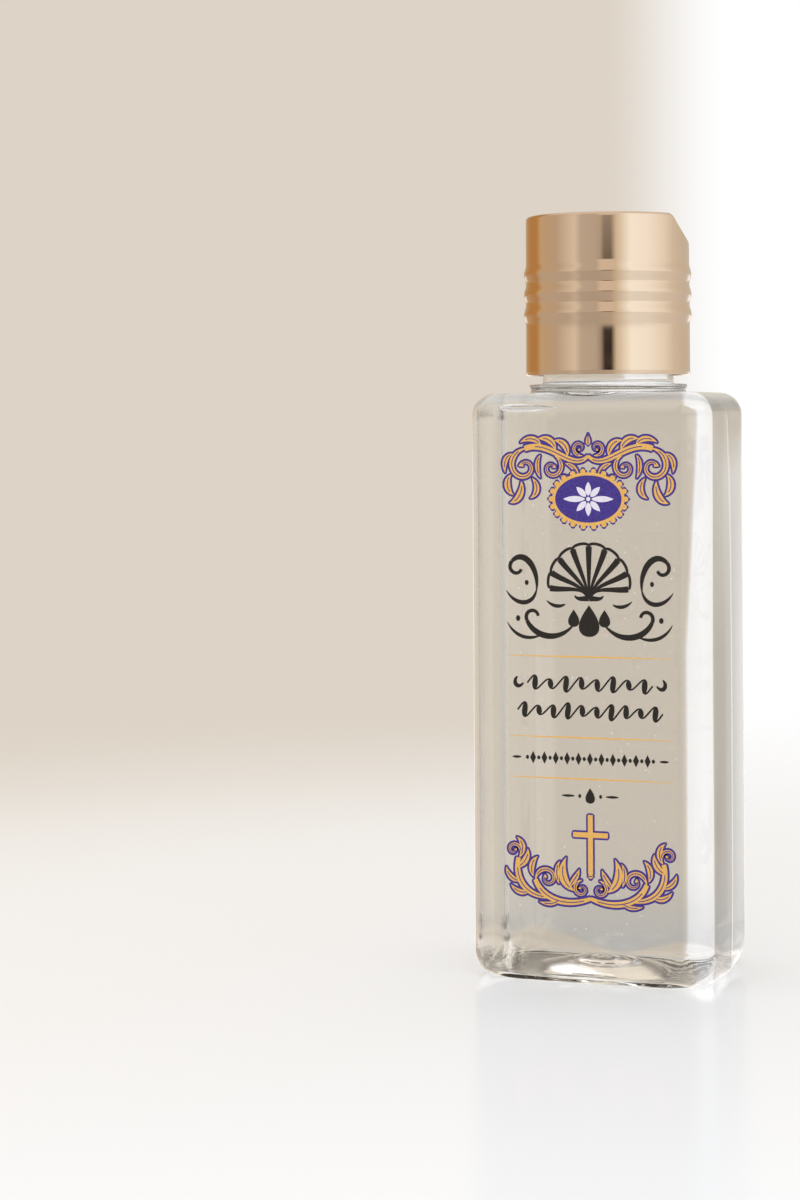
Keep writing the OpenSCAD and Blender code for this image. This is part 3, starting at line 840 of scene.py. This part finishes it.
# The same higher up, where light spills into the dark gap
GAP = (-11, 6)
SPILL = (0.98, 0.92, 0.84)
HIGH_LIGHTS = [(angle, SPILL if GAP[0] < angle < GAP[1] else light) for angle, light in LIGHTS]
# The same below eye level, where the floor throws light back
LOW_LIGHTS = (
    (-180, (1.3, 1.29, 1.27)), (-165, (1.3, 1.28, 1.25)), (-150, (0.66, 0.5, 0.32)),
    (-119, (0.66, 0.4, 0.18)), (-108, (0.74, 0.66, 0.56)), (-60, (0.72, 0.68, 0.62)),
    (-47, (0.84, 0.82, 0.79)), (-37, (0.66, 0.64, 0.6)), (-17, (0.64, 0.62, 0.58)),
    (5, (0.7, 0.66, 0.6)), (13, (0.88, 0.86, 0.77)), (33, (1.2, 1.33, 1.42)),
    (59, (1.16, 1.27, 1.36)), (87, (1.02, 1.07, 1.08)), (110, (0.95, 0.95, 0.93)),
    (135, (0.82, 0.82, 0.81)), (146, (0.84, 0.83, 0.82)), (158, (1.3, 1.3, 1.3)),
    (180, (1.3, 1.29, 1.27)),
)
# What the clear walls bend into view: warm paper behind the bottle, a white panel beside it, and near the
# camera a dim stretch with a dark strip, which keeps the back wall from mirroring the print
WARM = (0.64, 0.575, 0.48)
PANEL = (1.0, 1.0, 1.0)
STRIP = (0.14, 0.13, 0.12)
THROUGH = (
    (-180, WARM), (-177.4, WARM), (-176.6, PANEL), (-147, PANEL),
    (-142.5, (0.55, 0.49, 0.42)), (-136, (0.46, 0.41, 0.33)), (-132, (0.31, 0.26, 0.2)),
    (-128.5, (0.3, 0.27, 0.23)), (-122, (0.42, 0.39, 0.35)), (-100, (0.6, 0.57, 0.52)),
    (-60, (0.66, 0.64, 0.6)), (-45, (0.64, 0.62, 0.58)), (-39, STRIP), (-23, STRIP),
    (-17, (0.64, 0.62, 0.58)), (60, (0.68, 0.65, 0.59)), (118, (0.71, 0.65, 0.55)),
    (155, (0.67, 0.605, 0.505)), (172, WARM), (180, WARM),
)
# The same below the horizon, for the floor that the walls bend into view: painted shade, greyer and darker
# than the pale floor itself
LOW_PANEL = (0.8, 0.81, 0.83)
# Painted shade: the floor seen through the bottle is a dimmed grey of each light, and the panel a grey too
SHADED_LOW_THROUGH = []
for angle, light in THROUGH:
    grey = 0.3 * sum(light)
    SHADED_LOW_THROUGH.append((angle, LOW_PANEL if light == PANEL else (grey, 0.99 * grey, 0.95 * grey)))

world = bpy.data.worlds.new("studio")
bpy.context.scene.world = world
world.use_nodes = True
tree = world.node_tree
tree.nodes.clear()
way = add_node(tree, "TexCoord")
facing = add_node(tree, "VectorRotate", {"rotation_type": "Z_AXIS"}, {
    "Vector": way.outputs["Generated"], "Angle": -VIEW_TURN})
parts = add_node(tree, "SeparateXYZ", inputs={0: facing.outputs[0]})
across, along, up = parts.outputs
# Behind the bottle: a backdrop that goes from warm paper to white on the right
right = add_node(tree, "MapRange", SMOOTH, {0: across, 1: -0.003, 2: 0.045})
wall = add_node(tree, "Mix", MIX, {0: right.outputs[0], 6: PAPER, 7: WHITE})
rise = add_node(tree, "MapRange", SMOOTH, {0: up, 1: -0.19, 2: -0.13})
backdrop = add_node(tree, "Mix", MIX, {0: rise.outputs[0], 6: WHITE, 7: wall.outputs[2]})
behind = add_node(tree, "Background", inputs={"Color": backdrop.outputs[2]})
# Turn from the camera's side as a share of the full turn, and the same leaning over as it rises
near = add_node(tree, "Math", {"operation": "MULTIPLY"}, {0: along, 1: -1})
turn = add_node(tree, "Math", {"operation": "ARCTAN2"}, {0: across, 1: near.outputs[0]})
spot = add_node(tree, "MapRange", inputs={0: turn.outputs[0], 1: -math.pi, 2: math.pi})
lean = add_node(tree, "MapRange", inputs={0: up, 1: -0.085, 2: 0.0, 3: 0.0, 4: 0.022})
leaning = add_node(tree, "Math", {"operation": "SUBTRACT"}, {0: spot.outputs[0], 1: lean.outputs[0]})
# The rings of light as colour ramps, at half strength for backgrounds of strength 2
rings = []
for share, lights in (
        (leaning, SHADED_LOW_THROUGH), (leaning, THROUGH), (spot, LIGHTS), (spot, HIGH_LIGHTS), (spot, LOW_LIGHTS)):
    ramp = add_node(tree, "ValToRGB", inputs={0: share.outputs[0]})
    stops = ramp.color_ramp.elements
    while len(stops) < len(lights):
        stops.new(1.0)
    for stop, (angle, light) in zip(stops, lights):
        stop.position = (angle + 180) / 360
        stop.color = (*[c / 2 for c in light], 1)
    rings.append(ramp.outputs[0])
shaded_floor_view, far_view, even_lights, high_lights, low_lights = rings
# What the clear walls bend into view, with the floor below the horizon in painted shade, brighter where it
# is seen steeply down
floor_light = add_node(tree, "MapRange", inputs={0: up, 1: -0.6, 2: -0.25, 3: 1.5, 4: 1.0})
pale = add_node(tree, "VectorMath", {"operation": "SCALE"}, {0: shaded_floor_view, "Scale": floor_light.outputs[0]})
horizon = add_node(tree, "MapRange", SMOOTH, {0: up, 1: -0.2, 2: -0.155})
bent = add_node(tree, "Mix", MIX, {0: horizon.outputs[0], 6: pale.outputs[0], 7: far_view})
# It is dimmer above the paper, and bright again overhead
dim = add_node(tree, "MapRange", SMOOTH, {0: up, 1: 0.06, 2: 0.25, 3: 2.0, 4: 0.8})
lamp = add_node(tree, "MapRange", SMOOTH, {0: up, 1: 0.34, 2: 0.5, 3: 0.0, 4: 2.2})
over = add_node(tree, "Math", {"operation": "ADD"}, {0: dim.outputs[0], 1: lamp.outputs[0]})
through = add_node(tree, "Background", inputs={"Color": bent.outputs[2], "Strength": over.outputs[0]})
# What the gold mirrors: lights on both sides of the camera, with a low dark gap between them
over_gap = add_node(tree, "MapRange", inputs={0: up, 1: 0.05, 2: 0.12})
high = add_node(tree, "Mix", MIX, {0: over_gap.outputs[0], 6: even_lights, 7: high_lights})
level = add_node(tree, "MapRange", SMOOTH, {0: up, 1: -0.02, 2: 0.005})
ring = add_node(tree, "Mix", MIX, {0: level.outputs[0], 6: low_lights, 7: high.outputs[2]})
roof = add_node(tree, "MapRange", SMOOTH, {0: up, 1: 0.55, 2: 0.8})
dome = add_node(tree, "Mix", MIX, {0: roof.outputs[0], 6: ring.outputs[2], 7: ROOF})
studio = add_node(tree, "Background", inputs={"Color": dome.outputs[2], "Strength": 2.0})
# What lights the floor and the plain surfaces: a soft tent, brighter overhead
top = add_node(tree, "MapRange", SMOOTH, {0: up, 1: 0.2, 2: 0.9, 3: 0.85, 4: 1.25})
tent = add_node(tree, "Background", inputs={"Color": WHITE, "Strength": top.outputs[0]})
path = add_node(tree, "LightPath")
shade = tent
for ray, light in (("Is Glossy Ray", studio), ("Is Transmission Ray", through), ("Is Camera Ray", behind)):
    shade = add_node(tree, "MixShader", inputs={
        0: path.outputs[ray], 1: shade.outputs[0], 2: light.outputs[0]})
add_node(tree, "OutputWorld", inputs={"Surface": shade.outputs[0]})

# Light crosses a dozen walls of plastic and water before it leaves the bottle
bounces = bpy.context.scene.cycles
bounces.max_bounces = 32
bounces.transmission_bounces = 32
bounces.glossy_bounces = 12
bounces.transparent_max_bounces = 32

camera_data = bpy.data.cameras.new("camera")
camera_data.lens = 81.171
camera_data.sensor_width = 36
camera_data.shift_y = -0.185
camera_data.clip_start = 0.01
camera = bpy.data.objects.new("camera", camera_data)
camera.location = (0.1427, -0.52675, 0.11013)
camera.rotation_euler = (math.radians(90.87), math.radians(0.294), math.radians(19.56))
bpy.context.collection.objects.link(camera)
bpy.context.scene.camera = camera
bpy.context.scene.view_settings.view_transform = "Standard"
